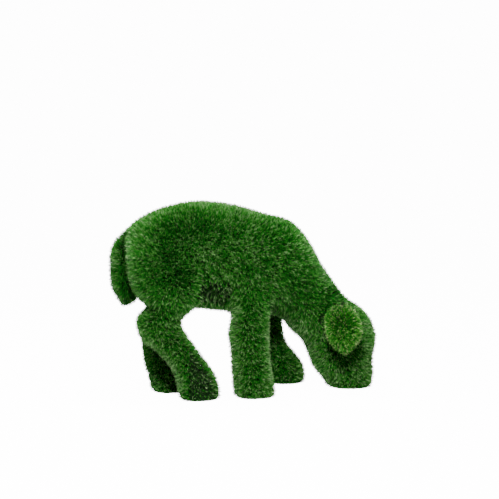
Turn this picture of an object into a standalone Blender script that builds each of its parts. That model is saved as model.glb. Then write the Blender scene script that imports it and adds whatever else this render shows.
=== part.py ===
"""Grazing lamb, a garden figure wrapped all over in artificial turf.

The solids are the outer envelope of the pile. The lamb faces +X and its right side is at -Y. The
body, with neck, head and legs, is one piece; the two ears and the tail are set on it.
Run it with: blender --background --python part.py
"""

import math

import bmesh
import bpy
from mathutils import Vector

# Driving dimensions, in metres
LENGTH = 0.893  # from the back of the tail to the forehead
HEIGHT = 0.635  # from the floor to the top of the back
TRUNK_WIDTH = 0.32  # across the ribs, pile included
HIND_SPREAD = 0.138  # between the middles of the two hind legs
HIND_SHIFT = -0.006  # how far the hind legs as a pair stand off the middle line
FORE_SPREAD = 0.190  # between the middles of the two forelegs
FORE_SHIFT = 0.007  # how far the forelegs as a pair stand off the middle line
HEAD_TURN = 0.020  # how far the muzzle is turned to the lamb's right
EAR_SPREAD = 0.264  # between the middles of the two hanging ears
TAIL_THICKNESS = 0.080  # from the back of the tail to its side on the rump
SEAT_GAP = 0.0005  # between the body and a piece that is set on it
FLOOR_CUT = 0.10  # how far the cutter under the floor reaches down

# Fineness of the blended skin
VOXEL = 0.0085
BLEND_PASSES = 4  # smoothing passes that melt a limb into the trunk
LOBE_PASSES = 3
BODY_TRIANGLES = 6400
LOBE_TRIANGLES = 620
RING_POINTS = 28
RINGS_BETWEEN = 4  # rings put in between two stations of a loft
ROUNDNESS = 2.25  # exponent of the rings: 2 is an ellipse, more is boxier
LEG_ROUNDNESS = 2.5

TURF_GREEN = (0.045, 0.185, 0.022, 1.0)
TURF_ROUGHNESS = 0.75

# Stations of the lofts. A station is the line across the form in the side view, given by its upper
# or rear end and its lower or front end, as (x, z, x, z), then the half width. x is a share of
# LENGTH, z of HEIGHT and the half width of TRUNK_WIDTH.
SPINE_SHARES = [
    (-0.456, 0.826, -0.449, 0.640, 0.200),  # point of the rump
    (-0.423, 0.888, -0.433, 0.555, 0.355),
    (-0.338, 0.957, -0.348, 0.478, 0.448),  # croup
    (-0.202, 1.000, -0.214, 0.456, 0.490),  # loin
    (-0.060, 0.983, -0.071, 0.431, 0.500),  # ribs
    (0.066, 0.931, 0.020, 0.414, 0.490),
    (0.161, 0.894, 0.086, 0.408, 0.464),  # withers
    (0.225, 0.803, 0.144, 0.376, 0.412),  # shoulder and brisket
    (0.283, 0.664, 0.173, 0.316, 0.348),  # foot of the neck
    (0.341, 0.550, 0.211, 0.270, 0.302),  # neck
    (0.385, 0.475, 0.229, 0.230, 0.280),  # throat
    (0.459, 0.398, 0.241, 0.180, 0.284),  # poll and cheeks
    (0.498, 0.278, 0.262, 0.108, 0.266),  # forehead
    (0.486, 0.160, 0.303, 0.036, 0.230),  # bridge of the nose
    (0.490, 0.070, 0.337, -0.044, 0.214),  # muzzle
    (0.470, -0.050, 0.373, -0.095, 0.190),
]
HIND_NEAR_SHARES = [
    (-0.456, 0.760, -0.166, 0.790, 0.225),  # hip
    (-0.449, 0.620, -0.163, 0.630, 0.295),  # thigh
    (-0.419, 0.530, -0.191, 0.506, 0.285),
    (-0.383, 0.482, -0.238, 0.456, 0.240),  # stifle
    (-0.417, 0.436, -0.262, 0.422, 0.205),
    (-0.424, 0.395, -0.270, 0.400, 0.196),  # hock
    (-0.407, 0.316, -0.266, 0.380, 0.186),
    (-0.353, 0.256, -0.250, 0.338, 0.182),
    (-0.306, 0.182, -0.202, 0.238, 0.184),
    (-0.284, 0.120, -0.159, 0.156, 0.196),
    (-0.272, 0.045, -0.129, 0.065, 0.202),  # foot
    (-0.266, -0.060, -0.125, -0.060, 0.200),
]
HIND_FAR_SHARES = [
    (-0.443, 0.760, -0.166, 0.790, 0.215),
    (-0.423, 0.610, -0.167, 0.630, 0.255),
    (-0.381, 0.520, -0.189, 0.490, 0.238),
    (-0.361, 0.440, -0.222, 0.440, 0.205),
    (-0.373, 0.375, -0.234, 0.390, 0.194),
    (-0.383, 0.290, -0.246, 0.300, 0.186),
    (-0.373, 0.160, -0.234, 0.165, 0.184),
    (-0.357, 0.080, -0.214, 0.080, 0.200),
    (-0.337, -0.060, -0.202, -0.060, 0.204),
]
FORE_NEAR_SHARES = [
    (-0.079, 0.720, 0.151, 0.720, 0.190),  # shoulder
    (-0.075, 0.560, 0.096, 0.560, 0.215),
    (-0.075, 0.430, 0.058, 0.430, 0.205),  # elbow
    (-0.087, 0.320, 0.055, 0.320, 0.200),  # knee
    (-0.078, 0.235, 0.056, 0.235, 0.195),
    (-0.075, 0.145, 0.061, 0.145, 0.195),
    (-0.069, 0.045, 0.078, 0.045, 0.200),  # foot
    (-0.060, -0.060, 0.080, -0.060, 0.198),
]
FORE_FAR_SHARES = [
    (-0.060, 0.720, 0.161, 0.720, 0.190),
    (-0.030, 0.560, 0.161, 0.520, 0.215),
    (0.005, 0.420, 0.166, 0.385, 0.205),
    (0.022, 0.310, 0.166, 0.300, 0.198),
    (0.048, 0.205, 0.181, 0.220, 0.190),
    (0.083, 0.125, 0.221, 0.150, 0.194),
    (0.109, 0.045, 0.256, 0.066, 0.200),
    (0.121, -0.060, 0.246, -0.060, 0.198),
]
# A tail's station starts with how far its rear end stands behind its front end, as a share of
# TAIL_THICKNESS. The tail hangs on the middle line.
TAIL_SHARES = [
    (0.446, 0.862, -0.403, 0.845, 0.060),  # root
    (0.737, 0.805, -0.418, 0.790, 0.120),
    (0.926, 0.735, -0.418, 0.715, 0.165),
    (1.016, 0.655, -0.411, 0.640, 0.180),
    (1.038, 0.575, -0.405, 0.575, 0.165),
    (0.748, 0.515, -0.411, 0.528, 0.115),
    (0.279, 0.480, -0.435, 0.488, 0.035),  # tip
]
# An ear's station ends with how far out its middle lies, as a share of half EAR_SPREAD.
EAR_SHARES = [
    (0.294, 0.462, 0.348, 0.480, 0.060, 0.500),  # root, set in the side of the head
    (0.270, 0.425, 0.375, 0.455, 0.115, 0.740),
    (0.259, 0.375, 0.395, 0.405, 0.145, 0.930),
    (0.259, 0.325, 0.402, 0.350, 0.145, 1.030),
    (0.271, 0.272, 0.393, 0.286, 0.125, 1.070),
    (0.296, 0.228, 0.369, 0.236, 0.080, 1.080),
    (0.322, 0.202, 0.346, 0.204, 0.025, 1.085),  # tip
]


def catmull(before, start, end, after, t):
    """One coordinate on the smooth curve from start to end, with the stations beside them."""
    slope_in = (end - before) / 2
    slope_out = (after - start) / 2
    return (
        start * (2 * t**3 - 3 * t**2 + 1)
        + slope_in * (t**3 - 2 * t**2 + t)
        + end * (3 * t**2 - 2 * t**3)
        + slope_out * (t**3 - t**2)
    )


def smooth_stations(stations):
    """The stations with RINGS_BETWEEN more between each two."""
    result = []
    last = len(stations) - 1
    for i in range(last):
        beside = [stations[max(i - 1, 0)], stations[i], stations[i + 1], stations[min(i + 2, last)]]
        for step in range(RINGS_BETWEEN + 1):
            t = step / (RINGS_BETWEEN + 1)
            result.append([catmull(*values, t) for values in zip(*beside)])
    result.append(list(stations[-1]))
    return result


def ring(upper, lower, half_width, y, roundness):
    """Points of a rounded section whose long axis runs from upper to lower in the side view."""
    middle = (upper + lower) / 2
    along = (upper - lower) / 2
    points = []
    for i in range(RING_POINTS):
        angle = 2 * math.pi * i / RING_POINTS
        across = math.copysign(abs(math.cos(angle)) ** (2 / roundness), math.cos(angle))
        up = math.copysign(abs(math.sin(angle)) ** (2 / roundness), math.sin(angle))
        points.append(middle + along * up + Vector((0, half_width * across + y, 0)))
    return points


def head_shift(x_share):
    """Sideways shift of the turned head: none at the withers, HEAD_TURN at the forehead."""
    reach = (x_share - SPINE_SHARES[6][0]) / (SPINE_SHARES[12][0] - SPINE_SHARES[6][0])
    return -HEAD_TURN * max(0.0, reach) ** 2


def add_loft(mesh, stations, y_of, roundness=ROUNDNESS):
    """A closed skin through the stations' rings; y_of gives the middle's Y from a station."""
    rings = []
    for values in smooth_stations(stations):
        upper = Vector((values[0] * LENGTH, 0, values[1] * HEIGHT))
        lower = Vector((values[2] * LENGTH, 0, values[3] * HEIGHT))
        points = ring(upper, lower, values[4] * TRUNK_WIDTH, y_of(values), roundness)
        rings.append([mesh.verts.new(point) for point in points])
    for near, far in zip(rings, rings[1:]):
        for i in range(RING_POINTS):
            j = (i + 1) % RING_POINTS
            mesh.faces.new((near[i], near[j], far[j], far[i]))
    mesh.faces.new(rings[0][::-1])
    mesh.faces.new(rings[-1])


def turf_material():
    material = bpy.data.materials.new("artificial_turf")
    material.use_nodes = True
    shader = material.node_tree.nodes["Principled BSDF"]
    shader.inputs["Base Color"].default_value = TURF_GREEN
    shader.inputs["Roughness"].default_value = TURF_ROUGHNESS
    shader.inputs["Metallic"].default_value = 0.0
    material.diffuse_color = TURF_GREEN
    return material


def add_object(name, mesh, collection):
    """Put a bmesh in the scene as an object of that name."""
    bmesh.ops.recalc_face_normals(mesh, faces=mesh.faces)
    data = bpy.data.meshes.new(name)
    mesh.to_mesh(data)
    mesh.free()
    thing = bpy.data.objects.new(name, data)
    collection.objects.link(thing)
    return thing


def settle(thing):
    """Make the evaluated mesh the object's own and drop its modifiers."""
    depsgraph = bpy.context.evaluated_depsgraph_get()
    data = bpy.data.meshes.new_from_object(thing.evaluated_get(depsgraph))
    thing.modifiers.clear()
    thing.data = data
    data.name = thing.name


def melt(thing, voxel, passes, triangles):
    """Fuse the overlapping lofts of an object into one skin, smooth it and thin it out."""
    remesh = thing.modifiers.new("one_skin", "REMESH")
    remesh.mode = "VOXEL"
    remesh.voxel_size = voxel
    smooth = thing.modifiers.new("blend", "SMOOTH")
    smooth.factor = 0.5
    smooth.iterations = passes
    settle(thing)
    whole = sum(len(face.vertices) - 2 for face in thing.data.polygons)
    thin = thing.modifiers.new("fewer_faces", "DECIMATE")
    thin.ratio = min(1.0, triangles / whole)
    settle(thing)


def make_body(collection):
    """Trunk, neck and head in one loft, the legs in four, all melted together."""
    mesh = bmesh.new()
    add_loft(mesh, SPINE_SHARES, lambda values: head_shift(values[0]))
    legs = (
        (HIND_NEAR_SHARES, HIND_SHIFT - HIND_SPREAD / 2),
        (FORE_NEAR_SHARES, FORE_SHIFT - FORE_SPREAD / 2),
        (HIND_FAR_SHARES, HIND_SHIFT + HIND_SPREAD / 2),
        (FORE_FAR_SHARES, FORE_SHIFT + FORE_SPREAD / 2),
    )
    for stations, y in legs:
        add_loft(mesh, stations, lambda values, y=y: y, LEG_ROUNDNESS)
    body = add_object("lamb_body", mesh, collection)
    melt(body, VOXEL, BLEND_PASSES, BODY_TRIANGLES)
    return body


def make_ear(name, side, collection):
    mesh = bmesh.new()
    add_loft(mesh, EAR_SHARES, lambda values: head_shift(values[2]) + side * values[5] * EAR_SPREAD / 2)
    ear = add_object(name, mesh, collection)
    melt(ear, VOXEL / 2, LOBE_PASSES, LOBE_TRIANGLES)
    return ear


def make_tail(collection):
    mesh = bmesh.new()
    stations = []
    for thickness, rear_z, front_x, front_z, half_width in TAIL_SHARES:
        rear_x = front_x - thickness * TAIL_THICKNESS / LENGTH
        stations.append((rear_x, rear_z, front_x, front_z, half_width))
    add_loft(mesh, stations, lambda values: 0)
    tail = add_object("tail", mesh, collection)
    melt(tail, VOXEL / 2, LOBE_PASSES, LOBE_TRIANGLES)
    return tail


def make_floor_cutter(collection):
    """A block whose top is the floor: it leaves the soles and the muzzle's underside flat."""
    mesh = bmesh.new()
    bmesh.ops.create_cube(mesh, size=1.0)
    bmesh.ops.scale(mesh, vec=(2 * LENGTH, 2 * LENGTH, FLOOR_CUT), verts=mesh.verts)
    bmesh.ops.translate(mesh, vec=(0, 0, -FLOOR_CUT / 2), verts=mesh.verts)
    return add_object("floor_cutter", mesh, collection)


def make_seat_cutter(body, collection):
    """The body grown by the seat gap: what is set on the body is cut back to it."""
    cutter = bpy.data.objects.new("seat_cutter", body.data.copy())
    collection.objects.link(cutter)
    grow = cutter.modifiers.new("gap", "DISPLACE")
    grow.mid_level = 0.0
    grow.strength = SEAT_GAP
    return cutter


def cut(thing, cutter):
    modifier = thing.modifiers.new("cut_by_" + cutter.name, "BOOLEAN")
    modifier.operation = "DIFFERENCE"
    modifier.solver = "EXACT"
    modifier.use_self = True
    modifier.object = cutter


def centre_on_floor(things):
    """Shift the meshes so that the middle of their common box is at x = 0 and y = 0."""
    depsgraph = bpy.context.evaluated_depsgraph_get()
    corners = [Vector(c) for thing in things for c in thing.evaluated_get(depsgraph).bound_box]
    for thing in things:
        for axis in (0, 1):
            low = min(corner[axis] for corner in corners)
            high = max(corner[axis] for corner in corners)
            thing.location[axis] = -(low + high) / 2


def new_collection(name):
    collection = bpy.data.collections.new(name)
    bpy.context.scene.collection.children.link(collection)
    return collection


def main():
    for thing in list(bpy.data.objects):
        bpy.data.objects.remove(thing, do_unlink=True)
    parts = new_collection("grazing_lamb")
    cutters = new_collection("cutters")

    body = make_body(parts)
    lobes = [make_ear("ear_right", -1, parts), make_ear("ear_left", 1, parts), make_tail(parts)]
    floor_cutter = make_floor_cutter(cutters)
    seat_cutter = make_seat_cutter(body, cutters)
    cut(body, floor_cutter)
    for lobe in lobes:
        cut(lobe, seat_cutter)
    for cutter in (floor_cutter, seat_cutter):
        cutter.hide_render = True
        cutter.display_type = "WIRE"

    turf = turf_material()
    for thing in [body] + lobes:
        thing.data.materials.clear()
        thing.data.materials.append(turf)
        thing.data.shade_smooth()
    centre_on_floor([body] + lobes)
    for cutter in (floor_cutter, seat_cutter):
        cutter.location = body.location


main()
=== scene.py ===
"""Turf, stage and camera for the grazing lamb, a garden figure wrapped in artificial grass.

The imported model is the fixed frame. Turf stands for each of its solids: a thin backing keeps the
solid's form a pile's depth further in, and the blades that grow on it end near the solid's surface.
"""

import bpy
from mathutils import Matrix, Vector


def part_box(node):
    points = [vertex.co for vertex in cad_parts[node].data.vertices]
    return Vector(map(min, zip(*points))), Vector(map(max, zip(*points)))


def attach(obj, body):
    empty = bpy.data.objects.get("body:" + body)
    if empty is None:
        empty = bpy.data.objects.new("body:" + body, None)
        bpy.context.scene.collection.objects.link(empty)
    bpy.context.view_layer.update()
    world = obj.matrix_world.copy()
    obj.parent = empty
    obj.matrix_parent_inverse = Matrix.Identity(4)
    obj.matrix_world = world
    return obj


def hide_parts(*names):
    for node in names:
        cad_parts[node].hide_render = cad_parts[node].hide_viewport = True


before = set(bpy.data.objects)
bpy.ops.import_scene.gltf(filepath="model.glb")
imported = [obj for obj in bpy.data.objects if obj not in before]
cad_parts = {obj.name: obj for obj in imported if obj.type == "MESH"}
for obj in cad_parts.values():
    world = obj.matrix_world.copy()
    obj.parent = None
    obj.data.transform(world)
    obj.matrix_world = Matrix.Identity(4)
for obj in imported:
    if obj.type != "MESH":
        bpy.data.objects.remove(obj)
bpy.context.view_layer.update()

import math

import bmesh
import bpy
import numpy as np
from bpy.props import FloatProperty, FloatVectorProperty, IntProperty, PointerProperty
from mathutils import Vector
from mathutils.bvhtree import BVHTree

bl_info = {
    "name": "Grazing lamb in turf",
    "version": (1, 0, 0),
    "blender": (4, 5, 0),
    "location": "3D View > Sidebar > Lamb",
    "description": "Wraps the grazing lamb in artificial turf and sets it on a pale studio floor",
    "category": "Object",
}

PIECE_TRIANGLES = 198000  # the most that one piece of turf may have
BLADE_STRIP = 0.012  # share of the colour map's width that one blade takes
MERGE_DISTANCE = 0.00002
THIN_SHARE = 0.40  # share of the solid's thickness that the pile takes where the solid is thin
FLOOR_GAP = 0.0006  # how far the blades keep clear of the floor
SOLE_LEVEL = 0.001  # below this height a face or an edge belongs to a sole on the floor

# A face is a neighbour's seat if a point this far above it lies this deep inside the neighbour
SEAT_REACH = 0.006
SEAT_DEPTH = 0.004

# Seams between the panels of the body's turf, as (x, z) or x or z alone
THROAT = (0.207, 0.147)  # where the head's panel begins
MUZZLE_WAY = (0.155, -0.138)  # from there along the head
HEAD_BACK = 0.19  # how far back the head's panel may reach at the throat's height
HEAD_LEAN = 0.45  # how much less far back for each metre below the throat
HIND_LEGS = (-0.09, 0.29)  # the hind legs' panel lies behind and below this
FORELEGS_TOP = 0.265
CHEST = (0.14, 0.165)  # the neck's panel comes down to here over the chest
RUMP_FRONT = -0.20
BARREL_FRONT = 0.03

# Creases between a leg and the trunk, from below upwards as (x, z), and which way the leg lies
CREASES = (
    (((-0.222, 0.300), (-0.210, 0.319), (-0.200, 0.338), (-0.192, 0.362), (-0.188, 0.405)), -1),
    (((-0.082, 0.270), (-0.078, 0.312), (-0.075, 0.345), (-0.070, 0.370)), 1),
    (((0.038, 0.262), (0.034, 0.289), (0.023, 0.322)), -1),
)
CREASE_DEPTH = 0.013  # how much shorter, and so darker, the pile is in a crease: painted shade
CREASE_WIDTH = 0.024
EDGE_RISE = 0.006  # how much longer it is along the leg's edge
EDGE_WIDTH = 0.014
COMB_WIDTH = 0.018  # how far from its edge the leg's pile is combed over the crease
SPARED = 0.12  # share of the tufts that stand up out of a crease
SPARED_DIP = 0.4  # share of the crease's depth that those tufts follow
BELLY_DEPTH = 0.018  # how much shorter, and so darker, the pile is on the belly between the legs: painted shade
SHADOW_DEPTH = 0.016  # painted shadow: how much shorter, and so darker, the body's pile is beside an ear or the tail
SHADOW_REACH = {"ear_right": 0.026, "ear_left": 0.026, "tail": 0.012}  # and how far around it
EAR_TRIM = 0.0045  # how much shorter the ears' pile is: less low down, more underneath
TAIL_LONGER = 0.004  # how much longer the tail's pile is

# How far the tips of the tufts lie under the solid's surface, and where the shortest and longest end
TIPS_UNDER = 0.0025
SHORTEST = -0.012
LONGEST = 0.008
LEAST_RISE = 0.2  # share of the pile's depth that a blade stands at least
TUFT_REACH = 0.75  # how much the tufts differ in length, in units of the raggedness
BLADE_REACH = 0.65  # how much the blades of a tuft differ
EAR_RAGGEDNESS = 0.6  # share of that difference that the ears' blades keep
TWIST = 0.55  # how much the blades' edges are tilted out of the surface, in radians

# The least and the most share of its fan, its sweep and its width that a blade takes
FAN_SPAN = (0.3, 1.2)
SWEEP_SPAN = (0.55, 1.3)
WIDTH_SPAN = (0.75, 1.2)

# A blade's tone, from 0 for dark to 1 for pale
TONE_MEAN = 0.43
TUFT_TONES = 0.20  # how much the tufts differ
BLADE_TONES = 0.09  # how much the blades of a tuft differ
HIGHLIGHT_FROM = 0.65  # in units of the raggedness: blades that much longer than the mean turn paler, a painted highlight where they stand out into the light
HIGHLIGHT_GAIN = 0.28  # how much paler for each unit beyond that
SPARED_HIGHLIGHT = 0.35  # painted highlight: how much paler the tufts are that stand up out of a deep crease's shade

# Painted shade on the trunk's turf: axis, where the shade begins, where it is full, and how much
TRUNK_PAINTED_SHADES = (
    ("x", 0.0, 0.1, 0.15),
    ("x", -0.2, -0.28, 0.09),
    ("z", 0.46, 0.40, 0.07),
    ("z", 0.54, 0.58, 0.06),
)
# Painted shade on the legs' turf
LEG_PAINTED_SHADE = 0.02
LEFT_LEG_PAINTED_SHADE = 0.08  # painted shade: how much darker still the left legs are, as they stand in the body's shadow
TAIL_PAINTED_SHADE = 0.35  # painted shade: how much darker the tail is low down, on its edges and its inner side

# Soft boxes: name, place, what it shines on, width and height, and the property with its power
SOFT_BOXES = (
    ("key_light", (-0.5, -2.1, 2.2), (0.0, 0.0, 0.3), (0.5, 0.5), "key_power"),
    ("overhead_light", (-0.1, -0.1, 2.4), (0.0, 0.0, 0.3), (1.1, 0.8), "overhead_power"),
    ("rim_light", (-2.0, 0.9, 1.5), (-0.2, 0.0, 0.35), (0.8, 1.2), "rim_power"),
)


# Sizes and colours


class LambPile(bpy.types.PropertyGroup):
    depth: FloatProperty(
        name="Pile depth",
        description="From the backing to the tips of the blades",
        default=0.022,
        min=0.004,
        max=0.04,
        unit="LENGTH",
    )
    sweep: FloatProperty(
        name="Sweep",
        description="How far a blade's tip lies to the side of its root",
        default=0.0078,
        min=0.0,
        max=0.04,
        unit="LENGTH",
    )
    blade_width: FloatProperty(
        name="Blade width",
        description="Width of a blade of the turf at its root",
        default=0.0011,
        min=0.0005,
        max=0.005,
        unit="LENGTH",
    )
    raggedness: FloatProperty(
        name="Raggedness",
        description="How much the tips differ in height",
        default=0.0047,
        min=0.0,
        max=0.012,
        unit="LENGTH",
    )
    density: IntProperty(
        name="Blades per square metre",
        description="How densely the turf is tufted",
        default=550000,
        min=1000,
        max=800000,
    )
    tuft: IntProperty(
        name="Blades in a tuft",
        description="Blades that grow out of one stitch of the backing",
        default=3,
        min=1,
        max=20,
    )
    fan: FloatProperty(
        name="Fan",
        description="How far the blades of a tuft turn away from each other",
        default=0.2,
        min=0.0,
        max=3.0,
        subtype="FACTOR",
    )
    stray: FloatProperty(
        name="Stray",
        description="How far a tuft leans away from the way that the pile is combed",
        default=0.9,
        min=0.0,
        max=3.0,
        subtype="FACTOR",
    )
    tuft_spread: FloatProperty(
        name="Tuft spread",
        description="How far the blades of a tuft stand apart",
        default=0.0005,
        min=0.0,
        max=0.01,
        unit="LENGTH",
    )
    comb: FloatProperty(
        name="Comb",
        description="How far the pile is combed backwards and down",
        default=0.5,
        min=0.0,
        max=2.0,
        subtype="FACTOR",
    )
    seed: IntProperty(
        name="Seed",
        description="Another number plants the blades in other places",
        default=7,
        min=0,
    )


class LambColours(bpy.types.PropertyGroup):
    deep: FloatVectorProperty(
        name="Deep green",
        description="The darkest blades",
        default=(0.001, 0.060, 0.0005),
        size=3,
        subtype="COLOR",
    )
    green: FloatVectorProperty(
        name="Green",
        description="Most of the blades",
        default=(0.004, 0.200, 0.0015),
        size=3,
        subtype="COLOR",
    )
    light: FloatVectorProperty(
        name="Light green",
        description="The lighter blades",
        default=(0.030, 0.340, 0.008),
        size=3,
        subtype="COLOR",
    )
    # Pale green is partly the colour of a few pale blades, partly the painted highlight on tips and long
    # blades
    pale: FloatVectorProperty(
        name="Pale green",
        description="The few bleached blades and the worn tips",
        default=(0.300, 0.520, 0.210),
        size=3,
        subtype="COLOR",
    )
    root_shade: FloatProperty(
        name="Root shade",
        description="How bright a blade is at its root, where the pile keeps the light out",
        default=0.12,
        min=0.0,
        max=1.0,
        subtype="FACTOR",
    )
    floor: FloatVectorProperty(
        name="Floor",
        description="The studio floor",
        default=(0.60, 0.60, 0.60),
        size=3,
        subtype="COLOR",
    )


class LambStage(bpy.types.PropertyGroup):
    azimuth: FloatProperty(
        name="Camera azimuth",
        description="0 looks along +Y, at the lamb's right side",
        default=math.radians(-14.0),
        subtype="ANGLE",
    )
    elevation: FloatProperty(
        name="Camera elevation",
        description="Angle of the camera above the horizon",
        default=math.radians(6.0),
        subtype="ANGLE",
    )
    distance: FloatProperty(
        name="Camera distance",
        description="From the camera to the point it looks at",
        default=3.921,
        min=0.5,
        unit="LENGTH",
    )
    aim: FloatVectorProperty(
        name="Camera aim",
        description="The point at the middle of the picture",
        default=(0.014, 0.011, 0.4734),
        size=3,
        subtype="XYZ",
        unit="LENGTH",
    )
    key_power: FloatProperty(
        name="Key light",
        description="Power of the soft box high up on the camera's side",
        default=100.0,
        min=0.0,
        unit="POWER",
    )
    overhead_power: FloatProperty(
        name="Overhead light",
        description="Power of the soft box above the lamb",
        default=68.0,
        min=0.0,
        unit="POWER",
    )
    rim_power: FloatProperty(
        name="Rim light",
        description="Power of the soft box behind the tail",
        default=20.0,
        min=0.0,
        unit="POWER",
    )
    sky: FloatProperty(
        name="Room light",
        description="How much light the white room around the lamb throws on it",
        default=0.12,
        min=0.0,
    )
    backdrop: FloatProperty(
        name="Backdrop",
        description="How white the camera sees the room and the floor",
        default=14.0,
        min=0.0,
    )


# Turf material


def socket(tree, name, kind, direction, default=None):
    made = tree.interface.new_socket(name=name, in_out=direction, socket_type=kind)
    if default is not None:
        made.default_value = default


def pile_group():
    """Node group: a blade's colour and roughness from its tone and the height along it, with painted shade
    towards the root and a painted highlight on the tip.
    """
    tree = bpy.data.node_groups.get("pile_shade")
    if tree:
        return tree
    tree = bpy.data.node_groups.new("pile_shade", "ShaderNodeTree")
    socket(tree, "Tone", "NodeSocketFloat", "INPUT", 0.5)
    socket(tree, "Height", "NodeSocketFloat", "INPUT", 1.0)
    for name in ("Deep", "Green", "Light", "Pale"):
        socket(tree, name, "NodeSocketColor", "INPUT")
    socket(tree, "Root Shade", "NodeSocketFloat", "INPUT", 0.12)
    socket(tree, "Tip Paleness", "NodeSocketFloat", "INPUT", 0.3)
    socket(tree, "Color", "NodeSocketColor", "OUTPUT")
    socket(tree, "Roughness", "NodeSocketFloat", "OUTPUT")
    nodes = tree.nodes
    link = tree.links.new
    given = nodes.new("NodeGroupInput")
    out = nodes.new("NodeGroupOutput")

    def between(value, low, high, to_low=0.0, to_high=1.0):
        spread = nodes.new("ShaderNodeMapRange")
        spread.interpolation_type = "SMOOTHSTEP"
        spread.inputs["From Min"].default_value = low
        spread.inputs["From Max"].default_value = high
        spread.inputs["To Max"].default_value = to_high
        if isinstance(to_low, float):
            spread.inputs["To Min"].default_value = to_low
        else:
            link(to_low, spread.inputs["To Min"])
        link(value, spread.inputs["Value"])
        return spread.outputs["Result"]

    def mixed(kind, factor, first, second):
        mix = nodes.new("ShaderNodeMix")
        mix.data_type = "RGBA"
        mix.blend_type = kind
        if isinstance(factor, float):
            mix.inputs["Factor"].default_value = factor
        else:
            link(factor, mix.inputs["Factor"])
        link(first, mix.inputs["A"])
        link(second, mix.inputs["B"])
        return mix.outputs["Result"]

    def times(first, second):
        product = nodes.new("ShaderNodeMath")
        product.operation = "MULTIPLY"
        link(first, product.inputs[0])
        link(second, product.inputs[1])
        return product.outputs["Value"]

    tone = given.outputs["Tone"]
    height = given.outputs["Height"]
    colour = mixed("MIX", between(tone, 0.0, 0.40), given.outputs["Deep"], given.outputs["Green"])
    colour = mixed("MIX", between(tone, 0.40, 0.80), colour, given.outputs["Light"])
    colour = mixed("MIX", between(tone, 0.80, 1.0), colour, given.outputs["Pale"])
    # Painted highlight: the tips of the lighter blades turn pale, standing in for sheen and the light
    # through them at the outline
    tip = times(between(height, 0.72, 1.0), given.outputs["Tip Paleness"])
    tip = times(tip, between(tone, 0.45, 0.95, 0.08, 1.0))
    colour = mixed("MIX", tip, colour, given.outputs["Pale"])
    # Painted shade: darker towards the root, where the pile keeps the light out
    shade = between(height, 0.15, 0.85, given.outputs["Root Shade"], 1.0)
    grey = nodes.new("ShaderNodeCombineColor")
    for channel in ("Red", "Green", "Blue"):
        link(shade, grey.inputs[channel])
    colour = mixed("MULTIPLY", 1.0, colour, grey.outputs["Color"])
    link(colour, out.inputs["Color"])
    link(between(height, 0.2, 1.0, 0.9, 0.42), out.inputs["Roughness"])
    return tree


def turf_material(name, tip_highlight, light_and_shade_tint=(1.0, 1.0, 1.0)):
    """Turf whose colour follows each blade's own strip of the map: tone across, height along."""
    colours = bpy.context.scene.lamb_colours
    material = bpy.data.materials.new(name)
    material.use_nodes = True
    nodes = material.node_tree.nodes
    link = material.node_tree.links.new
    shader = nodes["Principled BSDF"]
    place = nodes.new("ShaderNodeUVMap")
    place.uv_map = "OFBake"
    parts = nodes.new("ShaderNodeSeparateXYZ")
    shade = nodes.new("ShaderNodeGroup")
    shade.node_tree = pile_group()
    for key, value in (
        ("Deep", colours.deep),
        ("Green", colours.green),
        ("Light", colours.light),
        ("Pale", colours.pale),
    ):
        # The tint is painted light on the ears' material and painted shade on the tail's
        rgb = [channel * gain for channel, gain in zip(value, light_and_shade_tint)]
        shade.inputs[key].default_value = (*rgb, 1.0)
    shade.inputs["Root Shade"].default_value = colours.root_shade
    shade.inputs["Tip Paleness"].default_value = tip_highlight
    link(place.outputs["UV"], parts.inputs["Vector"])
    link(parts.outputs["X"], shade.inputs["Tone"])
    link(parts.outputs["Y"], shade.inputs["Height"])
    link(shade.outputs["Color"], shader.inputs["Base Color"])
    link(shade.outputs["Roughness"], shader.inputs["Roughness"])
    shader.inputs["Specular IOR Level"].default_value = 0.25
    return material


# Turf


def unit(vectors):
    return vectors / np.maximum(np.linalg.norm(vectors, axis=1, keepdims=True), 1e-9)


def ramp(value, start, end):
    """0 before start, 1 past end and even in between; end may lie below start."""
    return np.clip((value - start) / (end - start), 0, 1)


def drift(points, wavelength, seed):
    """A slow random swell over the points, between about -1 and 1."""
    rng = np.random.default_rng(seed)
    waves = rng.normal(size=(7, 3))
    lengths = np.linalg.norm(waves, axis=1)[:, None]
    waves *= (2 * math.pi / wavelength) * rng.uniform(0.6, 1.6, (7, 1)) / lengths
    phases = rng.uniform(0, 2 * math.pi, 7)
    return np.sin(points @ waves.T + phases).sum(axis=1) / 2.6


def closed_skin(node):
    """A merged copy of the solid's skin."""
    skin = bmesh.new()
    skin.from_mesh(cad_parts[node].data)
    bmesh.ops.remove_doubles(skin, verts=skin.verts, dist=MERGE_DISTANCE)
    return skin


def open_skin(node):
    """The solid's skin, with the flat soles on the floor left open."""
    skin = closed_skin(node)
    soles = [f for f in skin.faces if f.normal.z < -0.9 and f.calc_center_median().z < SOLE_LEVEL]
    bmesh.ops.delete(skin, geom=soles, context="FACES")
    skin.normal_update()
    skin.faces.ensure_lookup_table()
    return skin


def solid_of(node):
    """The solid, for finding the distance to it and what lies inside it."""
    skin = closed_skin(node)
    solid = BVHTree.FromBMesh(skin)
    skin.free()
    return solid


def pile_depths(skin, node, depth):
    """How deep the backing lies under each point of the skin: less where the solid is thin."""
    solid = solid_of(node)
    depths = []
    for vert in skin.verts:
        start = vert.co - vert.normal * 0.001
        hit = solid.ray_cast(start, -vert.normal)
        through = hit[3] if hit[3] is not None else 1.0
        near_floor = min(1.0, 0.25 + vert.co.z / 0.04)
        depths.append(min(depth, THIN_SHARE * through) * near_floor)
    return depths


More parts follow.
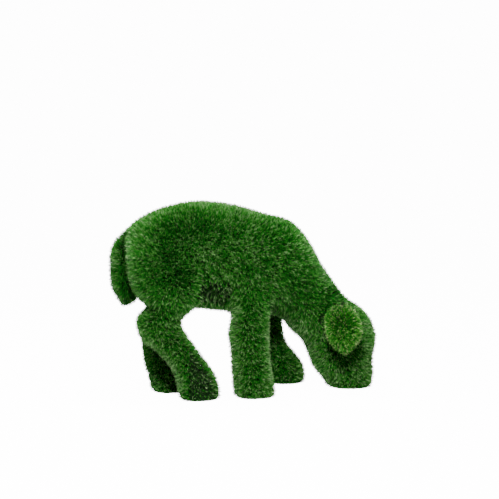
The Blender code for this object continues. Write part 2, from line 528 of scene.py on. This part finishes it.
def scatter(rng, corners, normals, depths, count):
    """Points spread evenly over triangles, with the normal and the pile's depth at each."""
    a, b, c = corners[:, 0], corners[:, 1], corners[:, 2]
    areas = np.linalg.norm(np.cross(b - a, c - a), axis=1) / 2
    reach = np.cumsum(areas) / areas.sum()
    picks = (np.arange(count) + rng.uniform(0, 1, count)) / count
    faces = np.minimum(np.searchsorted(reach, picks), len(areas) - 1)
    u, v = rng.uniform(0, 1, (2, count))
    over = u + v > 1
    u[over], v[over] = 1 - u[over], 1 - v[over]
    shares = np.stack([1 - u - v, u, v], axis=1)[:, :, None]
    points = (corners[faces] * shares).sum(axis=1)
    facing = unit((normals[faces] * shares).sum(axis=1))
    depth = (depths[faces] * shares[:, :, 0]).sum(axis=1)
    return points, facing, depth


def blade_template():
    """One flat blade, a unit long and wide: a point at the root and a blunt, cut tip."""
    blade = bmesh.new()
    bmesh.ops.create_grid(blade, x_segments=1, y_segments=1, size=0.5)
    bmesh.ops.translate(blade, vec=(0, 0.5, 0), verts=blade.verts)
    root = [v for v in blade.verts if v.co.y < 0.1]
    bmesh.ops.pointmerge(blade, verts=root, merge_co=(0, 0, 0))
    mesh = bpy.data.meshes.new("blade")
    blade.to_mesh(mesh)
    blade.free()
    return mesh


def many_blades(count):
    """The blade, count times over in one mesh, and each corner's place across and along it."""
    template = blade_template()
    places = np.array([v.co[:2] for v in template.vertices])
    corner_places = np.array([template.vertices[c.vertex_index].co[:2] for c in template.loops])
    bed = bpy.data.objects.new("blades", template)
    bpy.context.scene.collection.objects.link(bed)
    copies = bed.modifiers.new("copies", "ARRAY")
    copies.count = count
    copies.relative_offset_displace = (0, 0, 0)
    depsgraph = bpy.context.evaluated_depsgraph_get()
    mesh = bpy.data.meshes.new_from_object(bed.evaluated_get(depsgraph))
    bpy.data.objects.remove(bed)
    bpy.data.meshes.remove(template)
    return mesh, places, corner_places


def along_surface(ways, facing):
    """The part of each way that lies along the surface."""
    return ways - facing * (ways * facing).sum(axis=1, keepdims=True)


def crease_at(line, z):
    """Where along the lamb a crease runs, at a height."""
    return np.interp(z, [place[1] for place in line], [place[0] for place in line])


def crease_places(points):
    """For each crease: how far past it towards the leg the points lie, and how much it counts."""
    x, y, z = points.T
    sideways = ramp(np.abs(y), 0.05, 0.08)
    places = []
    for line, leg_side in CREASES:
        foot, head = line[0][1], line[-1][1]
        ends = ramp(z, foot - 0.02, foot) * ramp(z, head + 0.03, head)
        places.append(((x - crease_at(line, z)) * leg_side, ends * sideways, leg_side))
    return places


def lobe_shadow(points):
    """How far the body's pile is cut short and darkened beside the tail and below and behind an ear, from 0
    to 1: painted shade by the tail, a painted shadow under the ear.
    """
    share = np.zeros(len(points))
    for node, reach in SHADOW_REACH.items():
        low, high = (np.array(corner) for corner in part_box(node))
        near = np.flatnonzero(((points > low - reach) & (points < high + reach)).all(axis=1))
        solid = solid_of(node)
        gaps = np.array([solid.find_nearest(Vector(points[i]))[3] for i in near])
        # How far behind and below the lobe's middle the points lie, as shares of its box: the ear's painted
        # shadow falls there
        away = ((low + high) / 2 - points[near]) / (high - low)
        behind = 0.1 if node == "tail" else 0.5 * away[:, 0]
        shadowed = ramp(gaps, reach, 0.2 * reach) * ramp(0.9 * away[:, 2] + behind, -0.22, 0.08)
        share[near] = np.maximum(share[near], shadowed)
    return share


def relief(points, facing):
    """How much longer or shorter the body's pile is, by the edges, the creases, the lobes and the belly;
    the shorter pile also takes darker colour, as painted shade.
    """
    extra = np.zeros(len(points))
    beside = ramp(np.abs(facing[:, 1]), 0.25, 0.6)
    for past, counts, _ in crease_places(points):
        edge = EDGE_RISE * np.exp(-((past / EDGE_WIDTH) ** 2))
        crease = -CREASE_DEPTH * np.exp(-((past / CREASE_WIDTH) ** 2)) * beside
        extra += np.where(past > 0, edge, crease) * counts
    # painted shadow under the ears and painted shade by the tail
    extra -= SHADOW_DEPTH * lobe_shadow(points)
    x, _, z = points.T
    hind = crease_at(CREASES[0][0], z)
    fore = crease_at(CREASES[1][0], z)
    belly = ramp(x, hind, hind + 0.004) * ramp(x, fore, fore - 0.004) * ramp(z, 0.395, 0.36) * beside
    return np.minimum(extra, EDGE_RISE) * (1 - belly) - BELLY_DEPTH * belly


def painted_body_shade(points):
    """Painted shade on the body's turf: how much darker it is, on the trunk and on the legs."""
    x, y, z = points.T
    along = {"x": x, "z": z}
    trunk = sum(most * ramp(along[axis], start, full) for axis, start, full, most in TRUNK_PAINTED_SHADES)
    legs = LEG_PAINTED_SHADE + LEFT_LEG_PAINTED_SHADE * (y > 0.03)
    return trunk * ramp(z, 0.2, 0.3) + legs * ramp(z, 0.2, 0.15)


def plant(rng, points, facing, depth, pile, comb_of, node):
    """Roots, tips, widthways, tones and heights of the blades, tuft by tuft."""
    count = len(points)
    tufts = np.repeat(np.arange(count // pile.tuft + 1), pile.tuft)[:count]
    leader = np.minimum(tufts * pile.tuft, count - 1)

    def around(normal, strength):
        turned = along_surface(rng.normal(size=normal.shape), normal)
        return unit(turned) * strength

    tuft_way = around(facing, 1.0)[leader]
    root = points[leader] + rng.normal(scale=pile.tuft_spread, size=points.shape)
    facing = facing[leader]
    depth = depth[leader]
    way = along_surface(comb_of(root), facing) * pile.comb
    way += tuft_way * pile.stray + around(facing, pile.fan) * rng.uniform(*FAN_SPAN, (count, 1))
    way = along_surface(way, facing)
    stretch = np.minimum(np.linalg.norm(way, axis=1, keepdims=True), 1.5)
    side = unit(way)

    tuft_reach = rng.normal(0, 1, count)[leader]
    reach = TUFT_REACH * tuft_reach + BLADE_REACH * rng.normal(0, 1, count)
    rise = depth + np.clip(reach * pile.raggedness - TIPS_UNDER, SHORTEST, LONGEST)
    spared = (rng.uniform(0, 1, count) < SPARED)[leader]
    room = np.minimum(depth / pile.depth, 1.0)
    dip = np.zeros(count)
    if node == "lamb_body":
        dip = relief(root, facing) * room
        rise += dip * np.where(spared, SPARED_DIP, 1.0)
    elif node == "tail":
        rise += TAIL_LONGER
    else:
        upper = ramp(root[:, 2], root[:, 2].min(), root[:, 2].max())
        under = ramp(-facing[:, 2], 0.2, 1.2)
        trim = EAR_TRIM * (0.3 + 1.6 * upper + 2.2 * under)
        rise = depth - trim + EAR_RAGGEDNESS * (rise - depth)
    rise = np.maximum(rise, LEAST_RISE * depth)
    # A blade shorter than the pile's depth takes the darker root end of the colours: painted shade wherever
    # the pile is cut short
    height = np.clip(rise / depth, 0, 1)
    sweep = pile.sweep * room[:, None] * (0.35 + 0.65 * stretch) * rng.uniform(*SWEEP_SPAN, (count, 1))
    start = root - facing * depth[:, None]
    end = start + facing * rise[:, None] + side * sweep

    twist = rng.normal(0, TWIST, (count, 1))
    across = unit(np.cross(facing, side) * np.cos(twist) + facing * np.sin(twist))
    across *= pile.blade_width * rng.uniform(*WIDTH_SPAN, (count, 1))
    tuft_tone = rng.normal(0, 1, count)[leader]
    tone = TONE_MEAN + TUFT_TONES * tuft_tone + rng.normal(0, BLADE_TONES, count)
    tone += 0.02 * drift(root, 0.11, 3)
    # Painted highlight: longer blades stand out into the light and are made paler
    tone += 0.04 * reach + HIGHLIGHT_GAIN * np.maximum(reach - HIGHLIGHT_FROM, 0)
    if node == "lamb_body":
        # painted shade on the trunk and the legs
        tone -= painted_body_shade(root)
        # painted highlight on the tufts that stand up out of a deep crease
        tone += SPARED_HIGHLIGHT * spared * ramp(-dip, 0.0048, 0.0168)
    elif node == "tail":
        # painted shade where the tail hangs in shadow beside the rump
        tone -= TAIL_PAINTED_SHADE * ramp(root[:, 2], 0.45, 0.37) * ramp(facing[:, 0], -0.75, -0.35)
    return start, end, across, np.clip(tone, 0, 1), height


def grow_blades(rng, corners, normals, depths, count, pile, comb_of, node):
    """A mesh of blades planted over triangles of the skin, and its corners' places on the map."""
    points, facing, depth = scatter(rng, corners, normals, depths, count)
    start, end, across, tone, height = plant(rng, points, facing, depth, pile, comb_of, node)
    mesh, places, corner_places = many_blades(count)
    wide = places[None, :, 0, None]
    along = places[None, :, 1, None]
    blades = start[:, None] * (1 - along) + end[:, None] * along + wide * across[:, None]
    blades[:, :, 2] = np.maximum(blades[:, :, 2], FLOOR_GAP)
    mesh.vertices.foreach_set("co", blades.reshape(-1).astype(np.float32))
    map_u = tone[:, None] * (1 - BLADE_STRIP) + (corner_places[None, :, 0] + 0.5) * BLADE_STRIP
    map_v = corner_places[None, :, 1] * height[:, None]
    return mesh, np.stack([map_u, map_v], axis=2).reshape(-1, 2)


def make_backing(skin, faces, depths):
    """The panel's backing: its part of the skin, moved in by the pile's depth, with closed soles."""
    backing = skin.copy()
    backing.faces.ensure_lookup_table()
    keep = set(faces)
    for vert in backing.verts:
        on_sole = vert.co.z < SOLE_LEVEL
        vert.co = vert.co - vert.normal * depths[vert.index]
        if on_sole:
            vert.co.z = 0.0
    bmesh.ops.delete(backing, geom=[f for f in backing.faces if f.index not in keep], context="FACES")
    rims = [e for e in backing.edges if e.is_boundary and max(v.co.z for v in e.verts) < SOLE_LEVEL]
    if rims:
        soles = bmesh.ops.triangle_fill(backing, edges=rims, use_beauty=True)
        for face in soles["geom"]:
            if isinstance(face, bmesh.types.BMFace):
                face.normal_update()
                if face.normal.z > 0:
                    face.normal_flip()
    backing.normal_update()
    return backing


def make_turf(name, node, skin, faces, planted, ways, depths, material, comb_of, seed):
    """One piece of turf: a backing under some faces of the solid's skin, blades on the planted ones."""
    pile = bpy.context.scene.lamb_pile
    rng = np.random.default_rng(pile.seed * 1000 + seed)
    bed = [skin.faces[i] for i in planted]
    corners = np.array([[v.co for v in f.verts] for f in bed])
    normals = np.array([[ways[v.index] for v in f.verts] for f in bed])
    depth_at = np.array([[depths[v.index] for v in f.verts] for f in bed])
    area = sum(f.calc_area() for f in bed)
    backing = make_backing(skin, faces, depths)
    count = min(PIECE_TRIANGLES - 2 * len(backing.faces), int(area * pile.density))
    blades, blade_map = grow_blades(rng, corners, normals, depth_at, count, pile, comb_of, node)

    whole = bmesh.new()
    whole.from_mesh(blades)
    sheet = bpy.data.meshes.new("backing")
    backing.to_mesh(sheet)
    backing.free()
    whole.from_mesh(sheet)
    piece_mesh = bpy.data.meshes.new(name)
    whole.to_mesh(piece_mesh)
    whole.free()
    bpy.data.meshes.remove(blades)
    bpy.data.meshes.remove(sheet)

    layer = piece_mesh.uv_layers.new(name="OFBake")
    corner_verts = np.zeros(len(piece_mesh.loops), np.int32)
    piece_mesh.loops.foreach_get("vertex_index", corner_verts)
    spots = np.zeros(len(piece_mesh.vertices) * 3, np.float32)
    piece_mesh.vertices.foreach_get("co", spots)
    spots = spots.reshape(-1, 3)[corner_verts]
    # The backing lies at the roots' end of the map, in middling tones, so it takes the painted root shade
    places = np.stack([0.5 + 0.5 * spots[:, 0], 0.02 + 0.03 * spots[:, 2]], axis=1)
    places[: len(blade_map)] = blade_map
    layer.data.foreach_set("uv", places.reshape(-1).astype(np.float32))

    piece_mesh.materials.append(material)
    piece_mesh.shade_flat()
    piece = bpy.data.objects.new(name, piece_mesh)
    bpy.context.scene.collection.objects.link(piece)
    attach(piece, "root")
    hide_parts(node)


def buried(point, solid):
    """Whether a point lies deeper inside a solid than the seat depth."""
    spot, facing, _, distance = solid.find_nearest(point, 0.05)
    return spot is not None and distance > SEAT_DEPTH and (point - spot).dot(facing) < 0


def in_the_open(skin, faces, solids):
    """The faces that aren't the seat of a neighbouring solid."""
    shown = []
    for index in faces:
        face = skin.faces[index]
        above = face.calc_center_median() + face.normal * SEAT_REACH
        if not any(buried(above, solid) for solid in solids):
            shown.append(index)
    return shown


def pile_ways(skin, planted):
    """Which way the pile stands at each point of the skin, going by the planted faces only."""
    ways = [Vector() for _ in skin.verts]
    for index in planted:
        face = skin.faces[index]
        for corner in face.loops:
            ways[corner.vert.index] += face.normal * corner.calc_angle()
    return [way.normalized() for way in ways]


def panel_at(centre):
    """The panel of the body's turf that a point of its skin belongs to."""
    x, z = centre.x, centre.z
    past_throat = (x - THROAT[0]) * MUZZLE_WAY[0] + (z - THROAT[1]) * MUZZLE_WAY[1] > 0
    if past_throat and x > HEAD_BACK + (THROAT[1] - z) * HEAD_LEAN:
        return "head"
    if x < HIND_LEGS[0] and z < HIND_LEGS[1]:
        return "hind_legs"
    on_chest = x > CHEST[0] and z > CHEST[1]
    if z < FORELEGS_TOP and not on_chest:
        return "forelegs"
    if x < RUMP_FRONT:
        return "rump"
    if x < BARREL_FRONT:
        return "barrel"
    return "neck"


def body_comb(points):
    """Back over the rump, down the flanks and legs, and along the neck to the head."""
    x, z = points[:, 0], points[:, 2]
    way = np.zeros_like(points)
    rump = ramp(x, -0.12, -0.32) * ramp(z, 0.22, 0.34)
    neck = ramp(x, 0.12, 0.24) * ramp(z, 0.12, 0.24)
    way[:, 0] = -0.9 * rump + 0.45 * neck + 0.3 * drift(points, 0.16, 11)
    way[:, 1] = 0.3 * drift(points, 0.16, 12)
    way[:, 2] = -0.75 + 0.65 * rump + 0.3 * drift(points, 0.16, 13) - 2.0 * np.exp(-z / 0.012)
    way *= 1 + 0.8 * rump[:, None]
    for past, counts, leg_side in crease_places(points):
        near_edge = np.where(past > 0, np.exp(-((past / COMB_WIDTH) ** 2)), 0)
        way[:, 0] -= 2.2 * leg_side * counts * near_edge
    return way


def lobe_comb(middle):
    """Outwards and down from a point high in a lobe, as on a pompom."""

    def way(points):
        away = points - np.array(middle)
        return unit(away) * 0.55 + np.array([0, 0, -0.7])

    return way


class LAMB_OT_body_turf(bpy.types.Operator):
    """Wraps the body in six panels of turf"""

    bl_idname = "lamb.body_turf"
    bl_label = "Turf on the body"

    def execute(self, context):
        material = turf_material("body_turf", 0.85)
        skin = open_skin("lamb_body")
        depths = pile_depths(skin, "lamb_body", context.scene.lamb_pile.depth)
        lobes = [solid_of(node) for node in ("ear_right", "ear_left", "tail")]
        panels = {}
        for face in skin.faces:
            panels.setdefault(panel_at(face.calc_center_median()), []).append(face.index)
        shown = in_the_open(skin, range(len(skin.faces)), lobes)
        ways = pile_ways(skin, shown)
        for seed, name in enumerate(sorted(panels)):
            faces = panels[name]
            planted = sorted(set(faces) & set(shown))
            piece = "turf_" + name
            make_turf(piece, "lamb_body", skin, faces, planted, ways, depths, material, body_comb, seed)
        skin.free()
        return {"FINISHED"}


def lobe_turf(name, node, material, seed, context):
    """Turf all over a lobe."""
    skin = open_skin(node)
    depths = pile_depths(skin, node, context.scene.lamb_pile.depth)
    faces = range(len(skin.faces))
    low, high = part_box(node)
    crown = (low + high) / 2 + Vector((0, 0, 0.25 * (high.z - low.z)))
    ways = pile_ways(skin, faces)
    make_turf(name, node, skin, faces, faces, ways, depths, material, lobe_comb(crown), seed)
    skin.free()


class LAMB_OT_ear_turf(bpy.types.Operator):
    """Covers the two hanging ears with turf tinted lighter and yellower, painted light where they catch the
    light
    """

    bl_idname = "lamb.ear_turf"
    bl_label = "Turf on the ears"

    def execute(self, context):
        # The ears' lighter, yellower tint is painted light
        material = turf_material("ear_turf", 0.75, (1.6, 1.2, 1.2))
        lobe_turf("turf_ear_right", "ear_right", material, 21, context)
        lobe_turf("turf_ear_left", "ear_left", material, 22, context)
        return {"FINISHED"}


class LAMB_OT_tail_turf(bpy.types.Operator):
    """Covers the tail with turf"""

    bl_idname = "lamb.tail_turf"
    bl_label = "Turf on the tail"

    def execute(self, context):
        # The tail's darker tint is painted shade
        material = turf_material("tail_turf", 0.55, (0.75, 0.8, 0.75))
        lobe_turf("turf_tail", "tail", material, 31, context)
        return {"FINISHED"}


# Stage


def soft_box(name, place, aim, size, power):
    """A rectangular light at place that shines towards aim."""
    light = bpy.data.lights.new(name, "AREA")
    light.shape = "RECTANGLE"
    light.size, light.size_y = size
    light.energy = power
    lamp = bpy.data.objects.new(name, light)
    lamp.location = place
    lamp.rotation_euler = (Vector(aim) - Vector(place)).to_track_quat("-Z", "Y").to_euler()
    bpy.context.scene.collection.objects.link(lamp)


class LAMB_OT_stage(bpy.types.Operator):
    """Sets a pale floor, soft light and the camera"""

    bl_idname = "lamb.stage"
    bl_label = "Studio"

    def execute(self, context):
        stage = context.scene.lamb_stage
        self.floor(context)
        self.room(context, stage.sky)
        for name, place, aim, size, power in SOFT_BOXES:
            soft_box(name, place, aim, size, getattr(stage, power))
        self.camera(context, stage)
        return {"FINISHED"}

    def floor(self, context):
        sheet = bmesh.new()
        bmesh.ops.create_grid(sheet, x_segments=1, y_segments=1, size=40)
        mesh = bpy.data.meshes.new("floor")
        sheet.to_mesh(mesh)
        sheet.free()
        floor = bpy.data.objects.new("floor", mesh)
        context.scene.collection.objects.link(floor)
        material = bpy.data.materials.new("pale_floor")
        material.use_nodes = True
        shader = material.node_tree.nodes["Principled BSDF"]
        shader.inputs["Base Color"].default_value = (*context.scene.lamb_colours.floor, 1)
        shader.inputs["Roughness"].default_value = 0.9
        glow = self.seen_by_camera(material.node_tree, context.scene.lamb_stage.backdrop)
        shader.inputs["Emission Color"].default_value = (1, 1, 1, 1)
        material.node_tree.links.new(glow, shader.inputs["Emission Strength"])
        mesh.materials.append(material)

    def seen_by_camera(self, tree, strength, elsewhere=0.0):
        """A strength that the camera sees, with another one for the light that falls on things."""
        path = tree.nodes.new("ShaderNodeLightPath")
        blend = tree.nodes.new("ShaderNodeMix")
        blend.inputs["A"].default_value = elsewhere
        blend.inputs["B"].default_value = strength
        tree.links.new(path.outputs["Is Camera Ray"], blend.inputs["Factor"])
        return blend.outputs["Result"]

    def room(self, context, strength):
        world = bpy.data.worlds.new("white_room")
        world.use_nodes = True
        shade = world.node_tree.nodes["Background"]
        shade.inputs["Color"].default_value = (1, 1, 1, 1)
        seen = self.seen_by_camera(world.node_tree, context.scene.lamb_stage.backdrop, strength)
        world.node_tree.links.new(seen, shade.inputs["Strength"])
        context.scene.world = world

    def camera(self, context, stage):
        back = Vector((
            math.sin(stage.azimuth) * math.cos(stage.elevation),
            -math.cos(stage.azimuth) * math.cos(stage.elevation),
            math.sin(stage.elevation),
        ))
        lens = bpy.data.cameras.new("camera")
        lens.lens = 85
        lens.sensor_width = 36
        camera = bpy.data.objects.new("camera", lens)
        camera.location = Vector(stage.aim) + back * stage.distance
        camera.rotation_euler = (-back).to_track_quat("-Z", "Y").to_euler()
        context.scene.collection.objects.link(camera)
        context.scene.camera = camera


# Sidebar


class LAMB_PT_sidebar(bpy.types.Panel):
    bl_label = "Grazing lamb"
    bl_idname = "LAMB_PT_sidebar"
    bl_space_type = "VIEW_3D"
    bl_region_type = "UI"
    bl_category = "Lamb"

    def draw(self, context):
        for group in (context.scene.lamb_pile, context.scene.lamb_colours, context.scene.lamb_stage):
            box = self.layout.box()
            for key in group.bl_rna.properties.keys():
                if key not in ("name", "rna_type"):
                    box.prop(group, key)
        for operator in OPERATORS:
            self.layout.operator(operator.bl_idname)


GROUPS = (("lamb_pile", LambPile), ("lamb_colours", LambColours), ("lamb_stage", LambStage))
OPERATORS = (LAMB_OT_body_turf, LAMB_OT_ear_turf, LAMB_OT_tail_turf, LAMB_OT_stage)


def register():
    for key, group in GROUPS:
        bpy.utils.register_class(group)
        setattr(bpy.types.Scene, key, PointerProperty(type=group))
    for shown in (*OPERATORS, LAMB_PT_sidebar):
        bpy.utils.register_class(shown)


def unregister():
    for shown in (LAMB_PT_sidebar, *reversed(OPERATORS)):
        bpy.utils.unregister_class(shown)
    for key, group in reversed(GROUPS):
        delattr(bpy.types.Scene, key)
        bpy.utils.unregister_class(group)


def main():
    register()
    bpy.ops.lamb.body_turf()
    bpy.ops.lamb.ear_turf()
    bpy.ops.lamb.tail_turf()
    bpy.ops.lamb.stage()


if __name__ == "__main__":
    main()
